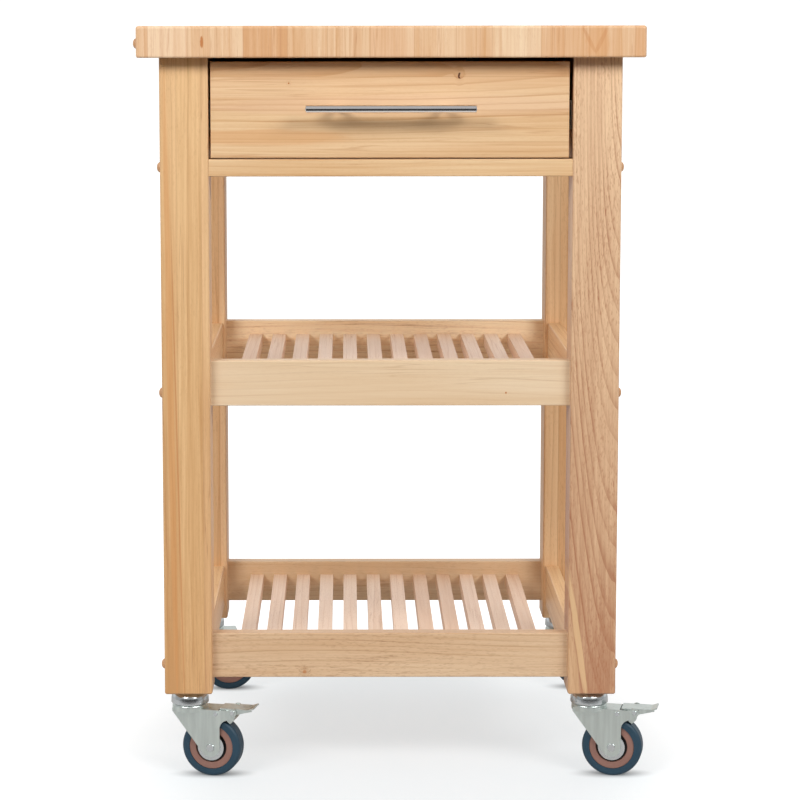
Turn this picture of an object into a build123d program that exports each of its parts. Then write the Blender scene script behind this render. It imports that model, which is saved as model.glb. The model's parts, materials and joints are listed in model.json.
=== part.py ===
from build123d import *
from math import acos, asin, atan2, cos, degrees, hypot, radians, sin
import os

# Kitchen cart with an end-grain worktop, one drawer, two slatted shelves and four swivel casters.
# Millimetres. +Z is up and the drawer faces -Y. The origin is on the floor, in the middle of the whole
# footprint: the front brake pedals reach past the worktop on the right, so the cart's own middle plane
# lies to the left of it.
mid_x = -15
height = 932
top_width = 610
top_depth = 508
top_thick = 38
side_overhang = 25.5
front_overhang = 26
leg_side = 59
caster_height = 108
panel_thick = 20  # front and back rails, and the aprons
panel_recess = 11  # rails and back apron, behind the legs' outer faces
small_gap = 0.1  # between a hidden fastener and its hole
soft_edge = 1.5
top_corner_r = 4
top_edge_r = 3.5
under_edge_r = 2.5
leg_edge_r = 2.5

# Drawer opening, measured down from the worktop's upper face
drawer_rail_top = height - 160.5
drawer_rail_height = 21
drawer_rail_depth = 42
flush_recess = 2  # drawer front and drawer rail, behind the legs' front faces

# Shelves
shelf_tops = {"mid": 524.5, "lower": 183}
shelf_rail_height = 56
side_rail_thick = 18
side_rail_inset = 4
slat_count = 12
slat_pitch = 32.6
slat_width = 18
slat_thick = 17.5
slat_drop = 18.5  # slat tops below the rail tops
slat_housing = 8  # slat ends let into the rails

# Frame fasteners
bolt_above_edge = 15
bolt_r = 3
bolt_head_r = 5.5
bolt_head_height = 4
bolt_in_rail = 31
counterbore_r = 6.3
counterbore_depth = 12
nut_from_end = 25
nut_r = 5
nut_length = 15
plug_r = 6.75
plug_height = 5
plug_stem = 7
dowel_r = 4
dowel_in_leg = 18
dowel_in_rail = 20
shelf_dowel_above_bolt = 25
drawer_rail_dowel_back = 14
back_apron_dowels_up = (50, 100)  # above the bolt
side_apron_dowels_up = (28, 71, 114)  # above the apron's lower edge
side_rail_dowels_up = (15, 40)  # above the rail's lower edge
edge_button_back = 23
edge_button_down = 21
screw_r = 1.75
screw_head_r = 3.5
screw_head_height = 2
screw_length = 14
bracket_leaf = 20
bracket_thick = 2
bracket_width = 18
side_bracket_y = 100
back_bracket_x = 120

# Drawer and its ball slides
front_width = 433.5
front_height = 116
front_shift = -1
front_bottom = height - 159
box_board = 12
box_height = 88
box_bottom = height - 152
box_length = 400
base_thick = 4
base_up = 8
base_groove = 4
slide_thick = 12.7
slide_sheet = 1.2
outer_reach = 10.9
inner_reach = 9.3
outer_height = 35
inner_height = 23.8
ball_r = 1.9
cage_length = 240
cage_sheet = 0.6
cage_flange = 7.5
cage_to_leg = 2.2
cage_behind = 25  # its middle, behind the slides' middle when the drawer is shut
balls_per_row = 6
slide_screw_ys = (-140, 0, 140)
front_screw_x = 150
front_screw_rise = 25
box_edge_r = 2
bar_r = 4.75
bar_length = 205
bar_standoff = 32
post_r = 4
post_spacing = 128
handle_thread = 14
handle_z = height - 99

# Casters. x runs from the swivel axis along the trail, y across the wheel, z up from the floor.
trail = 30
wheel_r = 37.5
tread_half = 11.5
tread_round = 4.5
core_r = 28
core_half = 10.5
recess_r = 19.5
recess_half = 6
hub_r = 9
hub_half = 11.4
axle_r = 4
guard_r = 16.7
cheek_inner = 12.8
cheek_thick = 2
heel_r = 12
heel_drop = 4  # of the fork's slanting edges, below the crown's upper face
throat_z = 62
crown_z = 86
crown_front = 40
crown_back = -19
race_r = 22
race_drop = 3.5  # race ring's lower edge, below the crown's upper face
race_height = 8.2
race_round = 2.6
race_gap = 0.3
dome_r = 23.5
dome_top_r = 19.3
dome_neck_r = 14
kingpin_head_r = 7
kingpin_head = 3
kingpin_r = 4
running_gap = 0.05
stem_r = 5
stem_length = 20
insert_r = 8
insert_length = 22
hinge_x = 58.5
hinge_z = 83.5
hinge_r = 2.5
boss_r = 5.6
rivet_x = 37
rivet_z = 81
pedal_half = 12.5
pedal_sheet = 1.6
pedal_start = 42
tip_x = 84
tip_rise = 2.4
lobe_x = 56.5
lobe_z = 77
lobe_r = 4.8
shoe_r = 39.9
shoe_from = 51  # degrees about the axle, from the level
shoe_span = 7

# Places worked out from the sizes above
leg_top = height - top_thick
leg_height = leg_top - caster_height
leg_x = top_width / 2 - side_overhang - leg_side / 2
leg_y = top_depth / 2 - front_overhang - leg_side / 2
outer_x = leg_x + leg_side / 2
inner_x = leg_x - leg_side / 2
outer_y = leg_y + leg_side / 2
inner_y = leg_y - leg_side / 2
rail_y = outer_y - panel_recess - panel_thick / 2
drawer_rail_y = -outer_y + flush_recess + drawer_rail_depth / 2
drawer_rail_z = drawer_rail_top - drawer_rail_height / 2
apron_bottom = drawer_rail_top - drawer_rail_height
apron_height = leg_top - apron_bottom
apron_x = inner_x + panel_thick / 2
side_rail_x = inner_x + side_rail_inset + side_rail_thick / 2
front_face = -outer_y + flush_recess
box_front = front_face + panel_thick
box_x = inner_x - slide_thick
slide_z = box_bottom + box_height / 2
slide_start = box_front + 2
slide_length = box_length - 10

bolt_zs = [apron_bottom + drawer_rail_height / 2]
bolt_zs += [top - shelf_rail_height + bolt_above_edge for top in shelf_tops.values()]
corners = {
    "front_left": (-1, -1),
    "front_right": (1, -1),
    "back_left": (-1, 1),
    "back_right": (1, 1),
}
slat_xs = [mid_x + (i - (slat_count - 1) / 2) * slat_pitch for i in range(slat_count)]


def outward_plane(side, x, y, z):
    """A plane that looks left (-1) or right (1), x being measured from the cart's middle plane."""
    return Plane(origin=(mid_x + side * x, y, z), x_dir=(0, 1, 0), z_dir=(side, 0, 0))


def lengthwise_plane(end, x, y, z):
    """A plane that looks to the front (-1) or the back (1)."""
    return Plane(origin=(mid_x + x, end * y, z), x_dir=(1, 0, 0), z_dir=(0, end, 0))


def save(piece, name):
    piece.part.label = name
    export_step(piece.part, f"parts/{name}.step")


# Dowels that cross from a rail's end into a leg: their places along X and along Y.
def cross_dowels(level, end):
    """Offsets (y, z) of the dowels at one end of a front or back member."""
    if level > 0:
        return [(end * rail_y, bolt_zs[level] + shelf_dowel_above_bolt)]
    if end < 0:
        return [(-rail_y + drawer_rail_dowel_back, drawer_rail_z)]
    return [(rail_y, bolt_zs[0] + rise) for rise in back_apron_dowels_up]


side_dowels = [(apron_x, apron_bottom + rise) for rise in side_apron_dowels_up]
for shelf_top in shelf_tops.values():
    side_dowels += [(side_rail_x, shelf_top - shelf_rail_height + rise) for rise in side_rail_dowels_up]


# Worktop
def bracket_spots():
    """Corner planes of the worktop brackets: x runs into the cart, y up to the worktop."""
    spots = []
    for side in (-1, 1):
        for y in (-side_bracket_y, side_bracket_y):
            origin = (mid_x + side * inner_x, y, leg_top)
            spots.append(Plane(origin=origin, x_dir=(-side, 0, 0), z_dir=(0, side, 0)))
        back = (mid_x + side * back_bracket_x, rail_y - panel_thick / 2, leg_top)
        spots.append(Plane(origin=back, x_dir=(0, -1, 0), z_dir=(-1, 0, 0)))
    return spots


def leaf_screws(spot):
    """Screw planes of one bracket: into the worktop, and into the apron."""
    reach = bracket_leaf * 0.6
    inward = spot.x_dir
    up = Plane(origin=spot.from_local_coords((reach, -bracket_thick, 0)), z_dir=(0, 0, -1))
    across = Plane(origin=spot.from_local_coords((bracket_thick, -reach, 0)), z_dir=inward)
    return up, across


edge_button = outward_plane(
    -1, top_width / 2, -top_depth / 2 + edge_button_back, height - edge_button_down
)

with BuildPart() as top_block:
    with BuildSketch(Plane.XY.offset(leg_top)):
        with Locations((mid_x, 0)):
            RectangleRounded(top_width, top_depth, top_corner_r)
    extrude(amount=top_thick)
    fillet(top_block.faces().sort_by(Axis.Z)[-1].edges(), top_edge_r)
    fillet(top_block.faces().sort_by(Axis.Z)[0].edges(), under_edge_r)
    with Locations(edge_button):
        Hole(counterbore_r, counterbore_depth)
    for spot in bracket_spots():
        up = leaf_screws(spot)[0]
        with Locations(up.offset(-bracket_thick)):
            Hole(screw_r + small_gap, screw_length - bracket_thick + small_gap)
save(top_block, "top_block")


# Legs
def leg(name, side, end):
    with BuildPart() as post:
        with BuildSketch(Plane.XY.offset(caster_height)):
            with Locations((mid_x + side * leg_x, end * leg_y)):
                RectangleRounded(leg_side, leg_side, leg_edge_r)
        extrude(amount=leg_height)
        chamfer(post.faces().sort_by(Axis.Z)[0].edges(), soft_edge)
        with Locations(*[outward_plane(side, outer_x, end * rail_y, z) for z in bolt_zs]):
            CounterBoreHole(bolt_r + 3 * small_gap, counterbore_r, counterbore_depth, leg_side)
        inner = [
            outward_plane(-side, -inner_x, y, z) for level in range(3) for y, z in cross_dowels(level, end)
        ]
        inner += [lengthwise_plane(-end, side * x, -inner_y, z) for x, z in side_dowels]
        with Locations(*inner):
            Hole(dowel_r + small_gap, dowel_in_leg + 1)
        foot = Plane(origin=(mid_x + side * leg_x, end * leg_y, caster_height), z_dir=(0, 0, -1))
        with Locations(foot):
            Hole(insert_r + small_gap, insert_length + 1)
    save(post, f"leg_{name}")


for name, (side, end) in corners.items():
    leg(name, side, end)


# Members between the legs
def end_joint(end, level):
    """Bolt, dowel and barrel nut holes at both ends of a front or back member."""
    for side in (-1, 1):
        with Locations(outward_plane(side, inner_x, end * rail_y, bolt_zs[level])):
            Hole(bolt_r + 3 * small_gap, bolt_in_rail + 1)
        with Locations(*[outward_plane(side, inner_x, y, z) for y, z in cross_dowels(level, end)]):
            Hole(dowel_r + small_gap, dowel_in_rail + 1)


def nut_plane(side, end, level):
    """Mouth of a barrel nut's hole: in the member's rearward face, or under the drawer rail."""
    x = mid_x + side * (inner_x - nut_from_end)
    if level == 0 and end < 0:
        return Plane(origin=(x, -rail_y, apron_bottom), x_dir=(1, 0, 0), z_dir=(0, 0, -1))
    rearward = end * rail_y + panel_thick / 2
    return Plane(origin=(x, rearward, bolt_zs[level]), x_dir=(1, 0, 0), z_dir=(0, 1, 0))


def long_member(name, end, level, y, depth, bottom, tall):
    """A front or back board between two legs, with its joints."""
    with BuildPart() as board:
        with BuildSketch(Plane.XY.offset(bottom)):
            with Locations((mid_x, y)):
                Rectangle(2 * inner_x, depth)
        extrude(amount=tall)
        fillet(board.edges().filter_by(Axis.X), soft_edge)
        end_joint(end, level)
        for side in (-1, 1):
            with Locations(nut_plane(side, end, level)):
                Hole(nut_r + small_gap, nut_length + 1)
        if level > 0:
            top = bottom + tall - slat_drop
            for x in slat_xs:
                with Locations((x, end * (rail_y - panel_thick / 2), top)):
                    Box(
                        slat_width,
                        2 * slat_housing,
                        slat_thick,
                        align=(Align.CENTER, Align.CENTER, Align.MAX),
                        mode=Mode.SUBTRACT,
                    )
        elif end > 0:
            for spot in bracket_spots():
                across = leaf_screws(spot)[1]
                if abs(across.z_dir.Y) > 0.5:
                    with Locations(across.offset(-bracket_thick)):
                        Hole(screw_r + small_gap, screw_length - bracket_thick + small_gap)
    save(board, name)


def side_member(name, side, x, thick, bottom, tall, for_slides):
    """A board from a front leg to a back leg."""
    with BuildPart() as board:
        with BuildSketch(Plane.XY.offset(bottom)):
            with Locations((mid_x + side * x, 0)):
                Rectangle(thick, 2 * inner_y)
        extrude(amount=tall)
        fillet(board.edges().filter_by(Axis.Y), soft_edge)
        joints = [
            lengthwise_plane(end, side * x, inner_y, z)
            for end in (-1, 1)
            for dowel_x, z in side_dowels
            if dowel_x == x and bottom < z < bottom + tall
        ]
        with Locations(*joints):
            Hole(dowel_r + small_gap, dowel_in_rail + 1)
        if for_slides:
            screws = [leaf_screws(s)[1].offset(-bracket_thick) for s in bracket_spots()]
            screws = [s for s in screws if s.z_dir.X * side < -0.5]
            with Locations(*screws):
                Hole(screw_r + small_gap, screw_length - bracket_thick + small_gap)
            with Locations(*[outward_plane(-side, -inner_x, y, slide_z) for y in slide_screw_ys]):
                Hole(screw_r + small_gap, screw_length)
    save(board, name)


long_member(
    "drawer_rail", -1, 0, drawer_rail_y, drawer_rail_depth, apron_bottom, drawer_rail_height
)
long_member("back_apron", 1, 0, rail_y, panel_thick, apron_bottom, apron_height)
for word, side in (("left", -1), ("right", 1)):
    side_member(f"{word}_apron", side, apron_x, panel_thick, apron_bottom, apron_height, True)
for level, (shelf, top) in enumerate(shelf_tops.items(), start=1):
    bottom = top - shelf_rail_height
    for word, end in (("front", -1), ("back", 1)):
        long_member(
            f"{shelf}_{word}_rail", end, level, end * rail_y, panel_thick, bottom, shelf_rail_height
        )
    for word, side in (("left", -1), ("right", 1)):
        side_member(
            f"{shelf}_{word}_rail", side, side_rail_x, side_rail_thick, bottom, shelf_rail_height, False
        )

slat_length = 2 * (rail_y - panel_thick / 2 + slat_housing)
for shelf, top in shelf_tops.items():
    with BuildPart() as slats:
        with BuildSketch(Plane.XY.offset(top - slat_drop - slat_thick)):
            with Locations(*[(x, 0) for x in slat_xs]):
                Rectangle(slat_width, slat_length)
        extrude(amount=slat_thick)
    save(slats, f"{shelf}_slats")

# Frame fasteners
bolt_planes = [
    outward_plane(side, outer_x, end * rail_y, z) for side, end in corners.values() for z in bolt_zs
]
with BuildPart() as leg_bolts:
    for spot in bolt_planes:
        seat = spot.offset(-counterbore_depth)
        with BuildSketch(seat):
            Circle(bolt_head_r)
        extrude(amount=bolt_head_height)
        with BuildSketch(seat):
            Circle(bolt_r)
        extrude(amount=-(leg_side - counterbore_depth + bolt_in_rail))
save(leg_bolts, "leg_bolts")

with BuildPart() as barrel_nuts:
    for side, end in corners.values():
        for level in range(3):
            with BuildSketch(nut_plane(side, end, level)):
                Circle(nut_r)
            extrude(amount=-nut_length)
    for spot in bolt_planes:
        with Locations(spot):
            Hole(bolt_r + running_gap, leg_side + bolt_in_rail + 1)
save(barrel_nuts, "barrel_nuts")

with BuildPart() as plug_buttons:
    for spot in [*bolt_planes, edge_button]:
        across = Plane(origin=spot.origin, x_dir=spot.z_dir, z_dir=spot.x_dir)
        with BuildSketch(across):
            with BuildLine():
                rise = Spline(
                    (0, plug_r), (plug_height, 0), tangents=((1, -0.15), (0, -1))
                )
                Polyline(
                    rise @ 1,
                    (-plug_stem, 0),
                    (-plug_stem, counterbore_r - small_gap),
                    (0, counterbore_r - small_gap),
                    (0, plug_r),
                )
            make_face()
        revolve(axis=Axis(spot.origin, spot.z_dir))
save(plug_buttons, "plug_buttons")

with BuildPart() as rail_dowels:
    dowel_planes = [
        outward_plane(side, inner_x, y, z)
        for side, end in corners.values()
        for level in range(3)
        for y, z in cross_dowels(level, end)
    ]
    dowel_planes += [
        lengthwise_plane(end, side * x, inner_y, z)
        for side, end in corners.values()
        for x, z in side_dowels
    ]
    for spot in dowel_planes:
        with BuildSketch(spot.offset(-dowel_in_rail)):
            Circle(dowel_r)
        extrude(amount=dowel_in_rail + dowel_in_leg)
save(rail_dowels, "rail_dowels")

with BuildPart() as top_brackets:
    for spot in bracket_spots():
        with BuildSketch(spot):
            with BuildLine():
                Polyline(
                    (0, 0),
                    (bracket_leaf, 0),
                    (bracket_leaf, -bracket_thick),
                    (bracket_thick, -bracket_thick),
                    (bracket_thick, -bracket_leaf),
                    (0, -bracket_leaf),
                    close=True,
                )
            make_face()
        extrude(amount=bracket_width / 2, both=True)
    for spot in bracket_spots():
        with Locations(*leaf_screws(spot)):
            Hole(screw_r + small_gap, bracket_thick)
save(top_brackets, "top_brackets")


def pan_screws(planes, length):
    """Pan-head screws seated on the given planes, driven along each plane's -z."""
    for spot in planes:
        with BuildSketch(spot) as head:
            Circle(screw_head_r)
        extrude(head.sketch, amount=screw_head_height, taper=20)
        with BuildSketch(spot) as shank:
            Circle(screw_r)
        extrude(shank.sketch, amount=-length)


def flush_screws(planes, length, sheet):
    """Screws whose heads lie flush in a sheet."""
    for spot in planes:
        with BuildSketch(spot) as head:
            Circle(screw_head_r)
        extrude(head.sketch, amount=-sheet)
        with BuildSketch(spot) as shank:
            Circle(screw_r)
        extrude(shank.sketch, amount=-length)


outer_screw_planes = [
    outward_plane(-side, -(inner_x - slide_sheet), y, slide_z) for side in (-1, 1) for y in slide_screw_ys
]
inner_screw_planes = [
    outward_plane(side, box_x + slide_sheet, y, slide_z) for side in (-1, 1) for y in slide_screw_ys
]
with BuildPart() as cabinet_screws:
    pan_screws([p for s in bracket_spots() for p in leaf_screws(s)], screw_length)
    flush_screws(outer_screw_planes, screw_length, slide_sheet)
save(cabinet_screws, "cabinet_screws")

# Drawer
post_xs = [mid_x + side * post_spacing / 2 for side in (-1, 1)]
handle_planes = [
    Plane(origin=(x, box_front + box_board, handle_z), x_dir=(1, 0, 0), z_dir=(0, 1, 0)) for x in post_xs
]
front_screw_planes = [
    Plane(
        origin=(mid_x + side * front_screw_x, box_front + box_board, slide_z + rise),
        x_dir=(1, 0, 0),
        z_dir=(0, 1, 0),
    )
    for side in (-1, 1)
    for rise in (-front_screw_rise, front_screw_rise)
]

with BuildPart() as drawer_front:
    with BuildSketch(Plane.XZ.offset(-box_front)):
        with Locations((mid_x + front_shift, front_bottom + front_height / 2)):
            Rectangle(front_width, front_height)
    extrude(amount=panel_thick)
    fillet(drawer_front.faces().sort_by(Axis.Y)[0].edges(), soft_edge)
    with Locations(*handle_planes):
        Hole(screw_r + small_gap, panel_thick + box_board + 1)
    with Locations(*front_screw_planes):
        Hole(screw_r + small_gap, box_board + screw_length - 1)
save(drawer_front, "drawer_front")

box_inner_x = box_x - box_board
with BuildPart() as drawer_inner_front:
    with BuildSketch(Plane.XY.offset(box_bottom)):
        with Locations((mid_x, box_front + box_board / 2)):
            Rectangle(2 * box_inner_x, box_board)
    extrude(amount=box_height)
    with Locations((mid_x, box_front + box_board, box_bottom + base_up)):
        Box(
            2 * box_inner_x,
            2 * base_groove,
            base_thick,
            align=(Align.CENTER, Align.CENTER, Align.MIN),
            mode=Mode.SUBTRACT,
        )
    with Locations(*handle_planes, *front_screw_planes):
        Hole(screw_r + small_gap, box_board)
save(drawer_inner_front, "drawer_inner_front")

for word, side in (("left", -1), ("right", 1)):
    with BuildPart() as drawer_side:
        with BuildSketch(Plane.XY.offset(box_bottom)):
            with Locations((mid_x + side * (box_x - box_board / 2), box_front + box_length / 2)):
                Rectangle(box_board, box_length)
        extrude(amount=box_height)
        fillet(drawer_side.faces().sort_by(Axis.Z)[-1].edges().filter_by(Axis.Y), box_edge_r)
        with Locations((mid_x + side * box_inner_x, box_front + box_length / 2, box_bottom + base_up)):
            Box(
                2 * base_groove,
                box_length,
                base_thick,
                align=(Align.CENTER, Align.CENTER, Align.MIN),
                mode=Mode.SUBTRACT,
            )
        with Locations(*[outward_plane(side, box_x, y, slide_z) for y in slide_screw_ys]):
            Hole(screw_r + small_gap, box_board - 2)
    save(drawer_side, f"drawer_{word}_side")

with BuildPart() as drawer_back:
    with BuildSketch(Plane.XY.offset(box_bottom + base_up + base_thick)):
        with Locations((mid_x, box_front + box_length - box_board / 2)):
            Rectangle(2 * box_inner_x, box_board)
    extrude(amount=box_height - base_up - base_thick)
save(drawer_back, "drawer_back")

with BuildPart() as drawer_bottom:
    base_start = box_front + box_board - base_groove
    base_length = box_front + box_length - base_start
    with BuildSketch(Plane.XY.offset(box_bottom + base_up)):
        with Locations((mid_x, base_start + base_length / 2)):
            Rectangle(2 * (box_inner_x + base_groove), base_length)
    extrude(amount=base_thick)
save(drawer_bottom, "drawer_bottom")

bar_y = front_face - bar_standoff
with BuildPart() as handle_bar:
    with BuildSketch(Plane.YZ.offset(mid_x - bar_length / 2)):
        with Locations((bar_y, handle_z)):
            Circle(bar_r)
    extrude(amount=bar_length)
    chamfer(handle_bar.edges(), 0.8)
save(handle_bar, "handle_bar")

with BuildPart() as handle_posts:
    with BuildSketch(Plane.XZ.offset(-front_face)):
        with Locations(*[(x, handle_z) for x in post_xs]):
            Circle(post_r)
    extrude(amount=bar_standoff)
    with Locations(Plane(origin=(mid_x, bar_y, handle_z), z_dir=(1, 0, 0))):
        Cylinder(bar_r, bar_length, mode=Mode.SUBTRACT)
    with Locations(*[p.offset(-panel_thick - box_board) for p in handle_planes]):
        Hole(screw_r + small_gap, handle_thread)
save(handle_posts, "handle_posts")

with BuildPart() as drawer_screws:
    pan_screws(handle_planes, panel_thick + box_board + handle_thread - 2)
    pan_screws(front_screw_planes, box_board + screw_length - 2)
    flush_screws(inner_screw_planes, box_board - 2, slide_sheet)
save(drawer_screws, "drawer_screws")


# Ball slides
def channel(name, side, web_x, web_dir, tall, reach, screw_planes):
    """A C section: its web at web_x from the middle plane, its flanges running towards web_dir."""
    with BuildPart() as member:
        with BuildSketch(Plane.XZ.offset(-slide_start)):
            with BuildLine():
                x0 = mid_x + side * web_x
                x1 = x0 + side * web_dir * slide_sheet
                x2 = x0 + side * web_dir * reach
                low = slide_z - tall / 2
                high = slide_z + tall / 2
                Polyline(
                    (x0, low),
                    (x2, low),
                    (x2, low + slide_sheet),
                    (x1, low + slide_sheet),
                    (x1, high - slide_sheet),
                    (x2, high - slide_sheet),
                    (x2, high),
                    (x0, high),
                    close=True,
                )
            make_face()
        extrude(amount=-slide_length)
        with Locations(*screw_planes):
            Hole(screw_head_r + small_gap, slide_sheet)
    save(member, name)


ball_z = (outer_height / 2 - slide_sheet + inner_height / 2) / 2
cage_web_x = inner_x - cage_to_leg - cage_sheet
cage_start = slide_start + slide_length / 2 - cage_length / 2 + cage_behind
for word, side in (("left", -1), ("right", 1)):
    own_outer = [p for p in outer_screw_planes if (p.origin.X - mid_x) * side > 0]
    own_inner = [p for p in inner_screw_planes if (p.origin.X - mid_x) * side > 0]
    channel(f"slide_{word}_outer", side, inner_x, -1, outer_height, outer_reach, own_outer)
    channel(f"slide_{word}_inner", side, box_x, 1, inner_height, inner_reach, own_inner)

ball_ys = [cage_start + cage_length * (i + 0.5) / balls_per_row for i in range(balls_per_row)]
with BuildPart() as slide_cages:
    for side in (-1, 1):
        web = mid_x + side * cage_web_x
        flange = side * cage_flange
        with BuildSketch(Plane.XZ.offset(-cage_start)):
            with BuildLine():
                Polyline(
                    (web + side * cage_sheet, slide_z - ball_z - cage_sheet / 2),
                    (web - flange, slide_z - ball_z - cage_sheet / 2),
                    (web - flange, slide_z - ball_z + cage_sheet / 2),
                    (web, slide_z - ball_z + cage_sheet / 2),
                    (web, slide_z + ball_z - cage_sheet / 2),
                    (web - flange, slide_z + ball_z - cage_sheet / 2),
                    (web - flange, slide_z + ball_z + cage_sheet / 2),
                    (web + side * cage_sheet, slide_z + ball_z + cage_sheet / 2),
                    close=True,
                )
            make_face()
        extrude(amount=-cage_length)
        spots = [
            (web - side * 4, y, slide_z + rise) for y in ball_ys for rise in (-ball_z, ball_z)
        ]
        with Locations(*spots):
            Cylinder(ball_r + small_gap, 4 * cage_sheet, mode=Mode.SUBTRACT)
        with Locations(*spots):
            Sphere(ball_r)
save(slide_cages, "slide_cages")

# Casters
with BuildPart() as caster_inserts:
    feet = [(mid_x + side * leg_x, end * leg_y) for side, end in corners.values()]
    with BuildSketch(Plane.XY.offset(caster_height)):
        with Locations(*feet):
            Circle(insert_r)
            Circle(stem_r + running_gap, mode=Mode.SUBTRACT)
    extrude(amount=insert_length)
save(caster_inserts, "caster_inserts")

race_bottom = crown_z - race_drop
race_top = race_bottom + race_height
with BuildPart() as caster_heads:
    for x, y in feet:
        with BuildSketch(Plane(origin=(x, y, 0), x_dir=(1, 0, 0), z_dir=(0, -1, 0))):
            with BuildLine():
                rim = race_top + race_gap
                pin_foot = race_bottom - kingpin_head
                shoulder = Spline(
                    (dome_r, rim + 2),
                    (dome_top_r, caster_height - 3),
                    (dome_neck_r, caster_height - 1.2),
                    tangents=((0, 1), (-1, 0.1)),
                )
                Polyline(
                    shoulder @ 1,
                    (dome_neck_r, caster_height),
                    (stem_r, caster_height),
                    (stem_r, caster_height + stem_length),
                    (0, caster_height + stem_length),
                    (0, pin_foot),
                    (kingpin_head_r, pin_foot),
                    (kingpin_head_r, race_bottom - race_gap),
                    (kingpin_r, race_bottom - race_gap),
                    (kingpin_r, rim),
                    (dome_r - 0.8, rim),
                    (dome_r, rim + 0.8),
                    (dome_r, rim + 2),
                )
            make_face()
        revolve(axis=Axis((x, y, 0), (0, 0, 1)))
save(caster_heads, "caster_heads")


def caster_plane(base, across):
    """The vertical plane along a caster's trail, at a distance across the wheel."""
    return Plane(
        origin=base.from_local_coords((0, across, 0)), x_dir=base.x_dir, z_dir=-base.y_dir
    )


def cheek_outline(with_brake):
    """Side of the fork: a slanting strap with a round end about the axle, and the brake's ear."""
    low_z = crown_z - heel_drop
    reach_x = crown_back - trail
    reach_z = low_z - wheel_r
    turn = degrees(atan2(reach_z, reach_x)) + degrees(acos(heel_r / hypot(reach_x, reach_z)))
    heel = CenterArc((trail, wheel_r), heel_r, 0, turn - 360)
    Line(heel @ 1, (crown_back, low_z))
    Line((crown_back, low_z), (crown_back, crown_z))
    if with_brake:
        boss_start = 180 - degrees(asin((crown_z - hinge_z) / boss_r))
        boss = CenterArc((hinge_x, hinge_z), boss_r, boss_start, -205)
        Line((crown_back, crown_z), boss @ 0)
        Line(heel @ 0, (trail + heel_r, throat_z))
        throat = TangentArc(
            (trail + heel_r, throat_z), (trail + heel_r + 10, throat_z + 11.5), tangent=(0, 1)
        )
        Line(throat @ 1, boss @ 1)
    else:
        Line((crown_back, crown_z), (crown_front, crown_z))
        Line((crown_front, crown_z), (trail + heel_r, low_z))
        Line((trail + heel_r, low_z), heel @ 0)


def rim_edges(piece, radius):
    """The circular edges of one radius."""
    circles = piece.edges().filter_by(GeomType.CIRCLE)
    return circles.filter_by(lambda edge: abs(edge.radius - radius) < small_gap)


def fork(name, base, with_brake):
    half = cheek_inner + cheek_thick
    with BuildPart() as yoke:
        with BuildSketch(caster_plane(base, 0)):
            with BuildLine():
                cheek_outline(with_brake)
            make_face()
        extrude(amount=half, both=True)
        with BuildSketch(caster_plane(base, 0)):
            with Locations((trail, (crown_z - cheek_thick) / 2 - 5)):
                Rectangle(200, crown_z - cheek_thick + 10)
        extrude(amount=cheek_inner, both=True, mode=Mode.SUBTRACT)
        if with_brake:
            with BuildSketch(caster_plane(base, 0)):
                with Locations(((crown_front + 100) / 2, crown_z)):
                    Rectangle(100 - crown_front, 20)
            extrude(amount=cheek_inner, both=True, mode=Mode.SUBTRACT)
        with BuildSketch(base.offset(race_bottom)):
            Circle(race_r)
        extrude(amount=race_height)
        fillet(rim_edges(yoke, race_r).sort_by(Axis.Z)[-1], race_round)
        with Locations(base.offset(race_top)):
            Hole(kingpin_r + running_gap, race_top)
        bolts = [(trail, wheel_r, axle_r)]
        if with_brake:
            bolts += [(hinge_x, hinge_z, hinge_r), (rivet_x, rivet_z, 2)]
        for x, z, r in bolts:
            with BuildSketch(caster_plane(base, 0)):
                with Locations((x, z)):
                    Circle(r + running_gap)
            extrude(amount=half + 1, both=True, mode=Mode.SUBTRACT)
    save(yoke, name)


def cross_pin(base, x, z, r, half, head_r, head_height):
    """A pin across the fork with a low head at both ends."""
    with BuildSketch(caster_plane(base, 0)) as shank:
        with Locations((x, z)):
            Circle(r)
    extrude(shank.sketch, amount=half, both=True)
    for across in (-1, 1):
        with BuildSketch(caster_plane(base, across * half)) as head:
            with Locations((x, z)):
                Circle(head_r)
        extrude(head.sketch, amount=-across * head_height, taper=25)


def axle_set(name, base, with_brake):
    half = cheek_inner + cheek_thick
    with BuildPart() as pins:
        cross_pin(base, trail, wheel_r, axle_r, half, axle_r + 1.2, 1.2)
        for across in (-1, 1):
            with BuildSketch(caster_plane(base, across * cheek_inner)):
                with Locations((trail, wheel_r)):
                    Circle(guard_r)
                    Circle(axle_r + running_gap, mode=Mode.SUBTRACT)
            extrude(amount=across * 1.1)
        if with_brake:
            cross_pin(base, hinge_x, hinge_z, hinge_r, half, 3.2, 1)
            cross_pin(base, rivet_x, rivet_z, 2, half, 2.8, 0.8)
    save(pins, name)


def turned_about_axle(base, outline):
    """Revolves half a profile of (radius, distance across) about the wheel's axle."""
    centre = base.from_local_coords((trail, 0, wheel_r))
    with BuildSketch(Plane(origin=centre, x_dir=(0, 0, 1), z_dir=base.x_dir)) as section:
        with BuildLine():
            Polyline(*outline, close=True)
        make_face()
    revolve(section.sketch, axis=Axis(centre, base.y_dir))


def wheel(name, base):
    bore = axle_r + running_gap
    half_profile = [
        (bore, hub_half),
        (hub_r, hub_half),
        (hub_r + 0.5, recess_half),
        (recess_r, recess_half),
        (recess_r, core_half - 0.6),
        (recess_r + 0.6, core_half),
        (core_r - 0.4, core_half),
        (core_r, core_half - 0.4),
    ]
    mirrored = [(r, -y) for r, y in reversed(half_profile)]
    with BuildPart() as core:
        turned_about_axle(base, half_profile + mirrored)
    save(core, f"{name}_core")
    with BuildPart() as tread:
        ring = [(core_r, tread_half), (wheel_r, tread_half), (wheel_r, -tread_half), (core_r, -tread_half)]
        turned_about_axle(base, ring)
        fillet(rim_edges(tread, wheel_r), tread_round)
    save(tread, f"{name}_tread")


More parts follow.
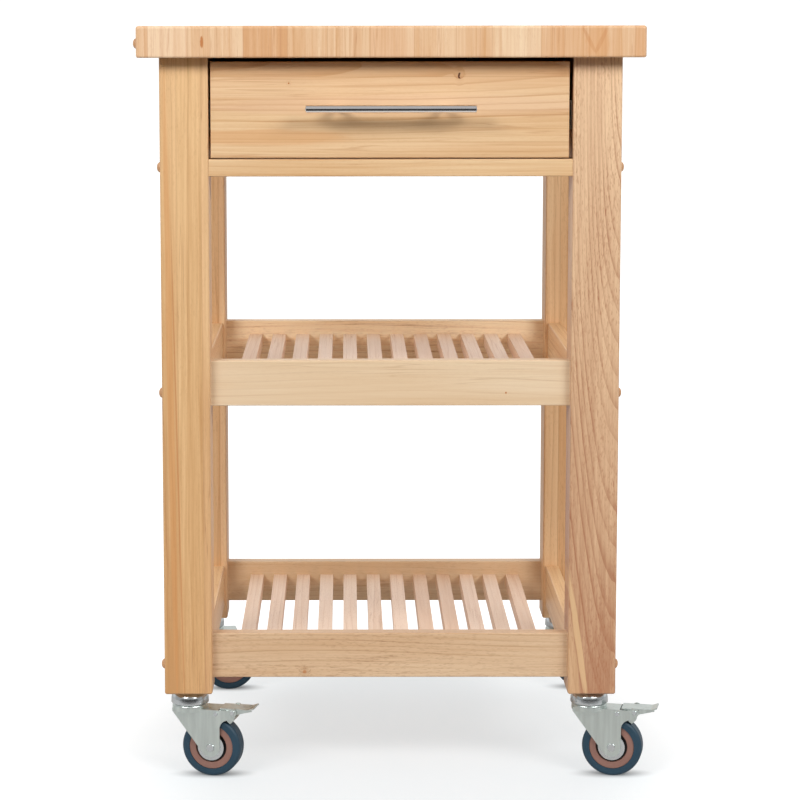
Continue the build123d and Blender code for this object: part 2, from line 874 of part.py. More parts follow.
def pedal(name, base):
    top = crown_z + 0.6
    bend_x = tip_x - 5
    with BuildPart() as lever:
        with BuildSketch(caster_plane(base, 0)):
            with BuildLine():
                plate = Polyline((pedal_start, top), (bend_x, top), (tip_x + 2, top + tip_rise))
                Polyline(
                    plate @ 1,
                    (tip_x + 1.4, top + tip_rise + pedal_sheet),
                    (bend_x - 0.4, top + pedal_sheet),
                    (pedal_start, top + pedal_sheet),
                    plate @ 0,
                )
            make_face()
        extrude(amount=pedal_half, both=True)
        for across in (-1, 1):
            with BuildSketch(caster_plane(base, across * pedal_half)):
                with BuildLine():
                    lobe = CenterArc((lobe_x, lobe_z), lobe_r, 180, 180)
                    Polyline(
                        lobe @ 1,
                        (lobe_x + lobe_r, hinge_z - 3),
                        (lobe_x + lobe_r + 4, hinge_z - 2),
                        (tip_x - 1, top - 0.6),
                        (tip_x - 1, top + 0.5),
                        (lobe_x - lobe_r - 2, top + 0.5),
                        (lobe_x - lobe_r - 2, hinge_z - 2),
                        lobe @ 0,
                    )
                make_face()
            extrude(amount=across * pedal_sheet)
        with BuildSketch(caster_plane(base, 0)):
            with BuildLine():
                heel = CenterArc((trail, wheel_r), shoe_r, shoe_from, shoe_span)
                Polyline(
                    heel @ 1,
                    (lobe_x - lobe_r + 0.5, lobe_z),
                    (lobe_x + lobe_r - 0.5, lobe_z),
                    (lobe_x + lobe_r - 1.5, lobe_z - 4),
                    heel @ 0,
                )
            make_face()
        extrude(amount=pedal_half - 1, both=True)
        with BuildSketch(caster_plane(base, 0)):
            with Locations((hinge_x, hinge_z)):
                Circle(hinge_r + running_gap)
        extrude(amount=pedal_half + 1, both=True, mode=Mode.SUBTRACT)
    save(lever, name)


# Every caster trails to the right: the front pair turned a little towards the front, the back pair
# a little towards the back.
swivel_turns = {"front_left": -13, "front_right": -13, "back_left": 6, "back_right": 14}
for name, (side, end) in corners.items():
    turn = radians(swivel_turns[name])
    base = Plane(
        origin=(mid_x + side * leg_x, end * leg_y, 0), x_dir=(cos(turn), sin(turn), 0), z_dir=(0, 0, 1)
    )
    braked = end < 0
    fork(f"{name}_fork", base, braked)
    axle_set(f"{name}_axle", base, braked)
    wheel(f"{name}_wheel", base)
    if braked:
        pedal(f"{name}_pedal", base)
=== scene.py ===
import json
import math

import bpy
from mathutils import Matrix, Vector


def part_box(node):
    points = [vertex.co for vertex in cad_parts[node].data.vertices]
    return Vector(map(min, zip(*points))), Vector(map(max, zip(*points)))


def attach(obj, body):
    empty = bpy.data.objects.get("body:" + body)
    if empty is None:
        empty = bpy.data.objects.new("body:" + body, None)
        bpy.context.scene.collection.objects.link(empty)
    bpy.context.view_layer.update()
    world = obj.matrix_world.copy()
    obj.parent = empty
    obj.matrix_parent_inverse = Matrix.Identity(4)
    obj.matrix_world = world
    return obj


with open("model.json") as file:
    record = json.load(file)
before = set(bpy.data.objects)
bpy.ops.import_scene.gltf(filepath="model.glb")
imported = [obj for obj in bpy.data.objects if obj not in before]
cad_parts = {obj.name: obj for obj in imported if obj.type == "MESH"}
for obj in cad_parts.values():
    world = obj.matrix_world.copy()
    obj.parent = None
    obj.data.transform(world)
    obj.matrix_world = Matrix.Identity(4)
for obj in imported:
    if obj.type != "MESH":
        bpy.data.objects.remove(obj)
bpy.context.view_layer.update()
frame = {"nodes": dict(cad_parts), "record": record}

nodes = frame["nodes"]
joints = {joint["name"]: joint for joint in frame["record"]["behaviour"]["joints"]}
corners = ("front_left", "front_right", "back_left", "back_right")
grain_order = {"X": (0, 1, 2), "Y": (1, 2, 0), "Z": (2, 0, 1)}
mm = 0.001
black = (0, 0, 0, 1)
white = (1, 1, 1, 1)


# Shader building

def put(tree, kind, inputs=None, **settings):
    """Adds a shader node, sets its options, and sets or links its inputs."""
    node = tree.nodes.new("ShaderNode" + kind)
    for key, value in settings.items():
        setattr(node, key, value)
    return feed(tree, node, inputs or {})


def feed(tree, node, inputs):
    for key, value in inputs.items():
        if isinstance(value, bpy.types.NodeSocket):
            tree.links.new(value, node.inputs[key])
        else:
            node.inputs[key].default_value = value
    return node


def calc(tree, operation, *values, clamp=False):
    node = put(tree, "Math", dict(enumerate(values)), operation=operation, use_clamp=clamp)
    return node.outputs[0]


def vector_calc(tree, operation, *values):
    node = put(tree, "VectorMath", dict(enumerate(values)), operation=operation)
    return node.outputs["Value" if operation == "LENGTH" else "Vector"]


def blend_colours(tree, factor, first, second):
    node = put(tree, "Mix", {0: factor, 6: first, 7: second}, data_type="RGBA")
    return node.outputs[2]


def ramp(tree, value, low, high):
    """0 below low, 1 above high, smooth between them."""
    inputs = {0: value, 1: low, 2: high, 3: 0.0, 4: 1.0}
    return put(tree, "MapRange", inputs, interpolation_type="SMOOTHSTEP").outputs[0]


def fade(tree, value, low, high):
    """1 below low, 0 above high, smooth between them."""
    return calc(tree, "SUBTRACT", 1.0, ramp(tree, value, low, high))


def noise(tree, vector, stretch, detail=2.0, roughness=0.5):
    """Noise over a vector that is first stretched to so many features a metre along each axis."""
    scaled = vector_calc(tree, "MULTIPLY", vector, stretch)
    inputs = {"Vector": scaled, "Scale": 1.0, "Detail": detail, "Roughness": roughness}
    return put(tree, "TexNoise", inputs).outputs[0]


def swing(tree, value):
    """Noise centred on nought."""
    return calc(tree, "SUBTRACT", value, 0.5)


def separate(tree, vector):
    return put(tree, "SeparateXYZ", {0: vector}).outputs


def combine(tree, *values):
    return put(tree, "CombineXYZ", dict(enumerate(values))).outputs[0]


def new_group(name, inputs, outputs):
    tree = bpy.data.node_groups.new(name, "ShaderNodeTree")
    for label, kind, value in inputs:
        socket = tree.interface.new_socket(label, in_out="INPUT", socket_type="NodeSocket" + kind)
        socket.default_value = value
    for label, kind in outputs:
        tree.interface.new_socket(label, in_out="OUTPUT", socket_type="NodeSocket" + kind)
    given = tree.nodes.new("NodeGroupInput").outputs
    return tree, given, tree.nodes.new("NodeGroupOutput")


def staves_group():
    """Boards glued side by side, each of its own timber and tone, and the glue lines between them."""
    tree, given, out = new_group(
        "glued_staves",
        [
            ("Across", "Float", 0.0),
            ("Width", "Float", 0.03),
            ("Start", "Float", 0.0),
            ("Unevenness", "Float", 0.5),
        ],
        [("Shift", "Vector"), ("Tone", "Float"), ("Blush", "Float"), ("Seam", "Float")],
    )
    along = calc(tree, "ADD", calc(tree, "DIVIDE", given["Across"], given["Width"]), given["Start"])
    spread = {"W": along, "Scale": 1.0, "Randomness": given["Unevenness"]}
    cell = put(tree, "TexVoronoi", spread, voronoi_dimensions="1D").outputs["Color"]
    edges = put(tree, "TexVoronoi", spread, voronoi_dimensions="1D", feature="DISTANCE_TO_EDGE")
    from_edge = calc(tree, "MULTIPLY", edges.outputs["Distance"], given["Width"])
    centred = vector_calc(tree, "SUBTRACT", cell, (0.5, 0.5, 0.5))
    pick = put(tree, "SeparateColor", {0: cell}).outputs
    feed(tree, out, {
        "Shift": vector_calc(tree, "MULTIPLY", centred, (9.0, 0.05, 0.05)),
        "Tone": pick[0],
        "Blush": pick[1],
        "Seam": fade(tree, from_edge, 0.1 * mm, 0.8 * mm),
    })
    return tree


def timber_group():
    """Timber with its grain along X: growth rings about a leaning pith, fibres and short dark pores."""
    tree, given, out = new_group(
        "timber",
        [
            ("Vector", "Vector", (0, 0, 0)),
            ("Shift", "Vector", (0, 0, 0)),
            ("Pith", "Vector", (0, 0.05, 0.08)),
            ("Lean", "Vector", (0, 0, 0)),
            ("Light", "Color", (0.75, 0.5, 0.27, 1)),
            ("Deep", "Color", (0.6, 0.36, 0.17, 1)),
            ("Line", "Color", (0.42, 0.22, 0.09, 1)),
            ("Tone", "Float", 0.4),
            ("Drift", "Float", 0.0),
            ("Mottle", "Float", 0.5),
            ("Rings", "Float", 0.5),
            ("Year", "Float", 0.007),
            ("Wander", "Float", 0.01),
            ("Fibres", "Float", 0.5),
            ("Hairs", "Float", 0.3),
            ("Pores", "Float", 0.2),
        ],
        [("Color", "Color"), ("Height", "Float"), ("Roughness", "Float")],
    )
    along = separate(tree, given["Vector"])[0]
    place = vector_calc(tree, "ADD", given["Vector"], given["Shift"])

    pith = vector_calc(tree, "MULTIPLY_ADD", along, given["Lean"], given["Pith"])
    from_pith = vector_calc(tree, "MULTIPLY", vector_calc(tree, "SUBTRACT", place, pith), (0, 1, 1))
    wander = swing(tree, noise(tree, place, (2.5, 12.0, 12.0), detail=0.0))
    ripple = swing(tree, noise(tree, place, (9.0, 70.0, 70.0), detail=1.0))
    radius = calc(tree, "MULTIPLY_ADD", wander, given["Wander"], vector_calc(tree, "LENGTH", from_pith))
    radius = calc(tree, "MULTIPLY_ADD", ripple, calc(tree, "MULTIPLY", given["Year"], 0.35), radius)
    turns = calc(tree, "DIVIDE", radius, given["Year"])
    phase = calc(tree, "FRACT", turns)
    year = put(tree, "TexWhiteNoise", {"W": calc(tree, "FLOOR", turns)}, noise_dimensions="1D").outputs[0]
    strength = calc(tree, "MULTIPLY", calc(tree, "MULTIPLY_ADD", year, 0.8, 0.2), given["Rings"])
    late = calc(tree, "MULTIPLY", calc(tree, "POWER", phase, 3.0), strength)
    thin = calc(tree, "MULTIPLY", ramp(tree, phase, 0.72, 0.93), fade(tree, phase, 0.93, 1.0))
    presence = ramp(tree, noise(tree, place, (4.0, 30.0, 30.0)), 0.38, 0.64)
    line = calc(tree, "MULTIPLY", calc(tree, "MULTIPLY", thin, strength), presence)

    fibre = noise(tree, place, (6.0, 260.0, 260.0), detail=3.0, roughness=0.7)
    broad = noise(tree, place, (2.2, 22.0, 22.0), detail=1.0)
    contour = calc(tree, "ABSOLUTE", swing(tree, noise(tree, place, (4.0, 230.0, 230.0), detail=1.0)))
    hair_patch = ramp(tree, noise(tree, place, (3.0, 26.0, 26.0)), 0.42, 0.62)
    hair_strength = calc(tree, "MULTIPLY", hair_patch, given["Hairs"])
    hair = calc(tree, "MULTIPLY", fade(tree, contour, 0.0, 0.03), hair_strength)
    pore_patch = ramp(tree, noise(tree, place, (6.0, 35.0, 35.0)), 0.3, 0.65)
    pore_patch = calc(tree, "MULTIPLY_ADD", pore_patch, 0.7, 0.3)
    pores = ramp(tree, noise(tree, place, (150.0, 860.0, 860.0), detail=1.0), 0.52, 0.68)
    pores = calc(tree, "MULTIPLY", pores, calc(tree, "MULTIPLY", pore_patch, given["Pores"]))

    # Drift deepens the tone steadily along the grain; on the legs it is partly painted falloff of light
    # towards the floor.
    depth = calc(tree, "MULTIPLY_ADD", along, given["Drift"], given["Tone"])
    cloud_strength = calc(tree, "MULTIPLY", given["Mottle"], 3.0)
    depth = calc(tree, "MULTIPLY_ADD", swing(tree, broad), cloud_strength, depth)
    fibre_strength = calc(tree, "MULTIPLY", given["Fibres"], 2.0)
    depth = calc(tree, "MULTIPLY_ADD", swing(tree, fibre), fibre_strength, depth)
    depth = calc(tree, "MULTIPLY_ADD", late, 0.7, depth, clamp=True)
    wood = blend_colours(tree, depth, given["Light"], given["Deep"])
    dark = calc(tree, "ADD", calc(tree, "MULTIPLY_ADD", line, 0.6, pores), hair, clamp=True)
    gloss = calc(tree, "MULTIPLY_ADD", dark, 0.15, calc(tree, "MULTIPLY_ADD", fibre, 0.1, 0.38))
    feed(tree, out, {
        "Color": blend_colours(tree, dark, wood, given["Line"]),
        "Height": calc(tree, "SUBTRACT", calc(tree, "MULTIPLY", fibre, 0.5), dark),
        "Roughness": gloss,
    })
    return tree


def mark_group():
    """A knot, streak or stain: an uneven oval, which can lean or be hollowed to a crescent."""
    tree, given, out = new_group(
        "mark",
        [
            ("Vector", "Vector", (0, 0, 0)),
            ("Place", "Vector", (0, 0, 0)),
            ("Size", "Vector", (1, 1, 1)),
            ("Slant", "Vector", (0, 0, 0)),
            ("Hollow", "Vector", (9, 9, 9)),
        ],
        [("Heart", "Float"), ("Halo", "Float")],
    )
    where = vector_calc(tree, "SUBTRACT", given["Vector"], given["Place"])
    leant = vector_calc(tree, "MULTIPLY_ADD", separate(tree, where)[0], given["Slant"], where)
    sized = vector_calc(tree, "DIVIDE", leant, given["Size"])
    uneven = put(tree, "TexNoise", {"Vector": sized, "Scale": 1.6, "Detail": 2.0}).outputs[1]
    shake = vector_calc(tree, "SUBTRACT", uneven, (0.5, 0.5, 0.5))
    shaken = vector_calc(tree, "MULTIPLY_ADD", shake, (0.9, 0.9, 0.9), sized)
    away = vector_calc(tree, "LENGTH", shaken)
    bite = vector_calc(tree, "LENGTH", vector_calc(tree, "SUBTRACT", shaken, given["Hollow"]))
    feed(tree, out, {
        "Heart": calc(tree, "MULTIPLY", fade(tree, away, 0.6, 1.0), ramp(tree, bite, 0.55, 0.85)),
        "Halo": fade(tree, away, 0.8, 3.5),
    })
    return tree


def mottle_group():
    """Slight cloudiness of a plated or moulded surface, in colour, gloss and height."""
    tree, given, out = new_group(
        "surface_mottle",
        [
            ("Base", "Color", (0.5, 0.5, 0.5, 1)),
            ("Gloss", "Float", 0.4),
            ("Strength", "Float", 0.3),
            ("Stretch", "Vector", (40, 40, 40)),
        ],
        [("Color", "Color"), ("Roughness", "Float"), ("Height", "Float")],
    )
    where = put(tree, "TexCoord").outputs["Object"]
    cloud = noise(tree, where, given["Stretch"], detail=3.0)
    grit = noise(tree, where, (1600.0, 1600.0, 1600.0))
    change = calc(tree, "MULTIPLY", swing(tree, cloud), given["Strength"])
    shade = calc(tree, "MULTIPLY_ADD", change, 1.6, 1.0)
    feed(tree, out, {
        "Color": vector_calc(tree, "MULTIPLY", given["Base"], combine(tree, shade, shade, shade)),
        "Roughness": calc(tree, "ADD", given["Gloss"], calc(tree, "MULTIPLY_ADD", grit, 0.08, change)),
        "Height": calc(tree, "MULTIPLY_ADD", grit, 0.4, cloud),
    })
    return tree


groups = {
    "staves": staves_group(),
    "timber": timber_group(),
    "mark": mark_group(),
    "mottle": mottle_group(),
}


def place_group(tree, name, inputs):
    node = tree.nodes.new("ShaderNodeGroup")
    node.node_tree = groups[name]
    return feed(tree, node, inputs).outputs


def new_material(name):
    material = bpy.data.materials.new(name)
    material.use_nodes = True
    return material, material.node_tree, material.node_tree.nodes["Principled BSDF"]


def colour(red, green, blue):
    """Linear colour from everyday 0-255 values."""
    def linear(level):
        level = level / 255
        return level / 12.92 if level <= 0.04045 else ((level + 0.055) / 1.055) ** 2.4
    return (linear(red), linear(green), linear(blue), 1.0)


def grey(level):
    return (level, level, level, 1.0)


def dress(node, material):
    """Gives a CAD piece its finish."""
    obj = nodes[node]
    obj.data.materials.clear()
    obj.data.materials.append(material)


# Timber finishes

def wood_tones(light, deep, line):
    return {"Light": colour(*light), "Deep": colour(*deep), "Line": colour(*line)}


golden = wood_tones((238, 198, 146), (198, 146, 90), (164, 108, 60))
rosy = wood_tones((240, 204, 164), (182, 132, 98), (164, 96, 60))
block = wood_tones((241, 212, 176), (215, 163, 112), (188, 122, 72))
front = wood_tones((236, 202, 158), (212, 164, 112), (184, 124, 72))
# Paler tones for the mid tray's back rail: painted light on a face that the mid front rail shades.
painted_light_pale = wood_tones((250, 226, 190), (236, 196, 150), (172, 118, 76))
cream = wood_tones((238, 214, 182), (222, 188, 148), (184, 140, 98))
sand = wood_tones((226, 196, 161), (205, 165, 125), (156, 108, 72))
honey = wood_tones((244, 210, 164), (216, 166, 114), (164, 106, 62))
blush = wood_tones((248, 224, 202), (228, 194, 164), (180, 136, 106))
button = wood_tones((222, 176, 130), (196, 144, 100), (150, 98, 62))
rosy_tint = colour(232, 184, 150)
pink_band = colour(232, 190, 158)
dark_knot = colour(86, 38, 16)
amber = colour(190, 112, 48)
orange = colour(214, 150, 90)
sapwood = colour(228, 190, 142)
rosiness = 0.25
bend_round_knot = 2 * mm


def mark(place, size, tint, amount=1.0, halo=0.0, slant=(0, 0, 0), hollow=(9, 9, 9)):
    """A knot, streak or stain, measured from the middle of its piece, along the grain first."""
    shape = {"Place": place, "Size": size, "Slant": slant, "Hollow": hollow}
    return {"shape": shape, "tint": tint, "amount": amount, "halo": halo}


def glue_up(tree, parts, stave, rows, tone):
    """Pattern shift, tone, rosy patches and glue lines of a piece made of staves, or of rows of blocks."""
    start = stave.get("start", 0.0)
    seams = 0.0
    if rows:
        row = place_group(tree, "staves", {
            "Across": parts[1],
            "Width": rows,
            "Start": 0.5,
            "Unevenness": 0.0,
        })
        start = calc(tree, "MULTIPLY_ADD", row["Tone"], 17.0, start)
        seams = row["Seam"]
    glued = place_group(tree, "staves", {
        "Across": parts["XYZ".index(stave["across"])],
        "Width": stave["width"],
        "Start": start,
        "Unevenness": stave.get("unevenness", 0.5),
    })
    tone = calc(tree, "MULTIPLY_ADD", swing(tree, glued["Tone"]), stave.get("spread", 0.5), tone)
    return glued["Shift"], tone, glued["Blush"], calc(tree, "MAXIMUM", glued["Seam"], seams)


def timber_finish(node, grain, tones, seed, stave=None, rows=0.0, seam=0.35, marks=(), **look):
    """Lacquered timber with its grain along one axis; seam is how dark its glue lines are."""
    material, tree, shader = new_material(f"{node}_wood")
    low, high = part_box(node)
    middle = tuple((low + high) / 2)
    from_middle = vector_calc(tree, "SUBTRACT", put(tree, "TexCoord").outputs["Object"], middle)
    parts = separate(tree, from_middle)
    lined_up = combine(tree, *[parts[i] for i in grain_order[grain]])
    shift = (seed * 1.37, 0, 0)
    inputs = {"Vector": lined_up, **tones, **look}
    if stave:
        moved, inputs["Tone"], rosy_patch, seams = glue_up(tree, parts, stave, rows, look.get("Tone", 0.4))
        shift = vector_calc(tree, "ADD", moved, shift)
    placed = []
    for one in marks:
        spot = place_group(tree, "mark", {"Vector": lined_up, **one["shape"]})
        placed.append((one, spot))
        if one["halo"]:
            bend = calc(tree, "MULTIPLY", spot["Halo"], bend_round_knot)
            shift = vector_calc(tree, "ADD", combine(tree, 0.0, bend, bend), shift)
    wood = place_group(tree, "timber", {**inputs, "Shift": shift})
    shade = wood["Color"]
    if stave:
        shade = blend_colours(tree, calc(tree, "MULTIPLY", rosy_patch, rosiness), shade, rosy_tint)
        shade = blend_colours(tree, calc(tree, "MULTIPLY", seams, seam), shade, tones["Line"])
    for one, spot in placed:
        if one["halo"]:
            halo = calc(tree, "MULTIPLY", spot["Halo"], one["halo"])
            shade = blend_colours(tree, halo, shade, tones["Line"])
        heart = calc(tree, "MULTIPLY", spot["Heart"], one["amount"])
        shade = blend_colours(tree, heart, shade, one["tint"])
    bump = put(tree, "Bump", {"Height": wood["Height"], "Strength": 0.2, "Distance": 0.5 * mm})
    feed(tree, shader, {
        "Base Color": shade,
        "Roughness": wood["Roughness"],
        "Normal": bump.outputs[0],
        "Coat Weight": 0.12,
        "Coat Roughness": 0.25,
    })
    dress(node, material)


def dress_worktop():
    low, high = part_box("top_block")
    edge = (low.y - high.y) / 2
    streak = mark((0, -0.226, edge), (0.009, 0.0022, 0.03), amber, 0.85)
    v_figure = [
        mark((0.002, 0.236, edge), (0.02, 0.003, 0.02), amber, 0.3, slant=(0, 0.5, 0)),
        mark((0.002, 0.251, edge), (0.02, 0.0034, 0.02), amber, 0.3, slant=(0, -0.45, 0)),
        mark((0, 0.247, edge), (0.03, 0.016, 0.02), orange, 0.4),
    ]
    stave = {"across": "X", "width": 0.052, "spread": 0.75, "unevenness": 0.6}
    timber_finish("top_block", "Z", block, 1, stave, rows=0.05, marks=[streak, *v_figure], Tone=0.45,
                  Rings=0.6, Year=0.009, Mottle=0.5, Fibres=0.6, Hairs=0.4, Pores=0.12)


def dress_drawer():
    marks = [
        mark((0.084, 0, 0.041), (0.0026, 1, 0.0046), dark_knot, halo=0.15, hollow=(0.8, 0, 0)),
        mark((-0.122, 0, 0.032), (0.0012, 1, 0.0012), amber, halo=0.12),
        mark((-0.15, 0, -0.033), (0.13, 1, 0.012), orange, 0.35),
        mark((0.02, 0, 0.005), (0.3, 1, 0.016), pink_band, 0.25),
    ]
    stave = {"across": "Z", "width": 0.0385, "unevenness": 0.25, "start": 0.6, "spread": 0.35}
    timber_finish("drawer_front", "X", front, 12, stave, marks=marks, Tone=0.3, Rings=1.0,
                  Lean=(0, 0.05, -0.03), Year=0.006, Fibres=0.6, Hairs=0.35, Pores=0.08)
    timber_finish("drawer_rail", "X", front, 34, Tone=0.35, Rings=0.4, Fibres=0.6, Pores=0.08)
    for seed, node in enumerate(("drawer_inner_front", "drawer_back", "drawer_bottom"), 35):
        timber_finish(node, "X", cream, seed, Rings=0.4)
    for seed, node in enumerate(("drawer_left_side", "drawer_right_side"), 38):
        timber_finish(node, "Y", cream, seed, Rings=0.4)


def dress_legs():
    # In every leg a negative Drift darkens the wood towards the floor: partly the timber's tone, partly
    # painted falloff of the lamps' light.
    strips = [
        mark((0, -0.019, 0), (0.5, 0.0045, 1), orange, 0.5, slant=(0, 0.012, 0)),
        mark((-0.1, -0.011, 0), (0.4, 0.0012, 1), amber, 0.45, slant=(0, 0.02, 0)),
    ]
    two_boards = {"across": "X", "width": 0.03}
    timber_finish("leg_front_left", "Z", golden, 20, {**two_boards, "spread": 0.15}, marks=strips, seam=0.2,
                  Tone=0.48, Drift=-0.75, Mottle=0.35, Rings=0.35, Fibres=0.6, Hairs=0.45, Pores=0.14)
    pale_streaks = [
        mark((-0.32, -0.018, 0), (0.1, 0.0045, 1), sapwood, 0.7, slant=(0, 0.148, 0)),
        mark((-0.39, -0.024, 0), (0.1, 0.011, 1), sapwood, 0.4, slant=(0, 0.05, 0)),
    ]
    timber_finish("leg_front_right", "Z", rosy, 21, marks=pale_streaks, Tone=0.48, Drift=-1.15,
                  Mottle=0.25, Pith=(0, 0.032, 0.012), Lean=(0, 0, -0.1), Year=0.0042, Wander=0.006,
                  Rings=0.75, Fibres=0.5, Hairs=0.2, Pores=0.45)
    for seed, corner in enumerate(("back_left", "back_right"), 22):
        timber_finish(f"leg_{corner}", "Z", honey, seed, two_boards, Tone=0.5, Drift=-0.6, Rings=0.6)


def dress_rails():
    wide = {"across": "Z", "width": 0.045}
    for seed, side in enumerate(("left", "right"), 31):
        timber_finish(f"{side}_apron", "Y", honey, seed, wide)
    timber_finish("back_apron", "X", honey, 33, wide)
    small_knot = mark((-0.106, 0, -0.021), (0.003, 1, 0.003), amber, 0.6, halo=0.15)
    pinhole = mark((0.142, 0, -0.012), (0.0012, 1, 0.0016), amber)
    tray_looks = {
        "mid": {
            "front": (cream, {"Pores": 0.06, "Rings": 0.35, "marks": [pinhole]}),
            # The mid back rail wears the paler tones as painted light.
            "back": (painted_light_pale, {"Tone": 0.12, "Rings": 0.8}),
        },
        "lower": {
            "front": (sand, {"Pores": 0.32, "Rings": 0.6, "Year": 0.005, "marks": [small_knot]}),
            "back": (cream, {"Tone": 0.65}),
        },
    }
    for shelf_seed, (shelf, looks) in zip((41, 51), tray_looks.items()):
        for seed, (side, (tones, look)) in enumerate(looks.items(), shelf_seed):
            timber_finish(f"{shelf}_{side}_rail", "X", tones, seed, Wander=0.02, **look)
        for seed, side in enumerate(("left", "right"), shelf_seed + 2):
            timber_finish(f"{shelf}_{side}_rail", "Y", honey, seed, Rings=0.4)
        strips = {"across": "X", "width": 0.0326, "unevenness": 0.0, "start": 0.5, "spread": 0.8}
        timber_finish(f"{shelf}_slats", "Y", blush, shelf_seed + 6, strips, seam=0.0, Rings=0.5)


def dress_small_wood():
    for seed, node in enumerate(("plug_buttons", "rail_dowels"), 61):
        timber_finish(node, "X", button, seed, Tone=0.6)


# Metal, rubber and moulded finishes

def mottled_finish(name, base, gloss, metallic=0.0, strength=0.2, stretch=(40, 40, 40), bump=0.1):
    material, tree, shader = new_material(name)
    look = {"Base": base, "Gloss": gloss, "Strength": strength, "Stretch": stretch}
    surface = place_group(tree, "mottle", look)
    relief = put(tree, "Bump", {"Height": surface["Height"], "Strength": bump, "Distance": 0.2 * mm})
    feed(tree, shader, {
        "Base Color": surface["Color"],
        "Roughness": surface["Roughness"],
        "Normal": relief.outputs[0],
        "Metallic": metallic,
    })
    return material


def wheel_core_finish(corner):
    """Moulded core, with painted shade making the deep groove between its rim and its hub dark."""
    groove_radius = 19 * mm
    groove_painted_shade = colour(26, 20, 20)
    material = mottled_finish(f"{corner}_core_plastic", colour(143, 104, 92), 0.45, strength=0.25)
    tree = material.node_tree
    spin = joints[f"{corner}_spin"]
    where = vector_calc(tree, "SUBTRACT", put(tree, "TexCoord").outputs["Object"], tuple(spin["pos_m"]))
    from_axle = vector_calc(tree, "LENGTH", vector_calc(tree, "CROSS_PRODUCT", where, tuple(spin["axis"])))
    shader = tree.nodes["Principled BSDF"]
    moulded = shader.inputs["Base Color"].links[0].from_socket
    # Painted shade: the core turns near black within the groove's radius of the axle.
    groove = fade(tree, from_axle, groove_radius, groove_radius + 0.7 * mm)
    feed(tree, shader, {"Base Color": blend_colours(tree, groove, moulded, groove_painted_shade)})
    return material


def dress_metal():
    streaked = (160, 160, 14)
    zinc = mottled_finish("zinc_plate", (0.63, 0.69, 0.66, 1), 0.3, 1.0, 0.35, streaked)
    bright_zinc = mottled_finish("bright_zinc", (0.6, 0.63, 0.64, 1), 0.17, 1.0, 0.2)
    steel = mottled_finish("polished_bar", (0.9, 0.88, 0.87, 1), 0.12, 1.0, 0.05, bump=0.03)
    tread = mottled_finish("wheel_tread_rubber", colour(28, 60, 78), 0.45, strength=0.2)
    fasteners = ("leg_bolts", "barrel_nuts", "top_brackets", "cabinet_screws", "drawer_screws")
    slides = [f"slide_{side}_{member}" for side in ("left", "right") for member in ("outer", "inner")]
    for node in (*fasteners, "caster_inserts", "slide_cages", *slides):
        dress(node, zinc)
    dress("caster_heads", bright_zinc)
    dress("handle_bar", steel)
    dress("handle_posts", steel)
    for corner in corners:
        dress(f"{corner}_fork", zinc)
        dress(f"{corner}_axle", bright_zinc)
        dress(f"{corner}_wheel_core", wheel_core_finish(corner))
        dress(f"{corner}_wheel_tread", tread)
    for corner in ("front_left", "front_right"):
        dress(f"{corner}_pedal", zinc)


def add_brake_pads():
    """Black rubber blocks between each pedal's lobe and the tread."""
    rubber = mottled_finish("brake_pad_rubber", colour(22, 22, 24), 0.6)
    inner_r, outer_r, half_width = 38.8 * mm, 40.2 * mm, 8 * mm
    angles = [math.radians(a) for a in (50.5, 53, 55.5, 58)]
    for corner in ("front_left", "front_right"):
        spin = joints[f"{corner}_spin"]
        axle = Vector(spin["pos_m"])
        across = Vector(spin["axis"])
        trail = Vector((across.y, -across.x, 0))
        points = []
        for side in (-half_width, half_width):
            for radius in (inner_r, outer_r):
                for angle in angles:
                    out = trail * math.cos(angle) + Vector((0, 0, math.sin(angle)))
                    points.append(axle + out * radius + across * side)
        steps = len(angles)
        rings = [[0, steps, 3 * steps, 2 * steps]]
        rings += [[first + i for first in rings[0]] for i in range(1, steps)]
        faces = [rings[0][::-1], rings[-1]]
        for near, far in zip(rings, rings[1:]):
            faces += [(near[i], near[i - 3], far[i - 3], far[i]) for i in range(4)]
        mesh = bpy.data.meshes.new(f"{corner}_brake_pad")
        mesh.from_pydata(points, [], faces)
        pad = bpy.data.objects.new(mesh.name, mesh)
        bpy.context.collection.objects.link(pad)
        mesh.materials.append(rubber)
        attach(pad, f"{corner}_pedal")


# Floor, light and camera

def make_camera():
    low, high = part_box("top_block")
    lens = bpy.data.cameras.new("camera")
    lens.sensor_width = 36
    lens.lens = 111.25
    lens.shift_x = 0.075
    lens.shift_y = -0.1
    camera = bpy.data.objects.new("camera", lens)
    bpy.context.collection.objects.link(camera)
    camera.location = ((low.x + high.x) / 2 - 0.0545, -3.2194, 0.9314)
    downward_tilt, roll, turn = 0.1183, 0.0012, 0.0022
    camera.rotation_euler = (math.pi / 2 - downward_tilt, roll, turn)
    bpy.context.scene.camera = camera


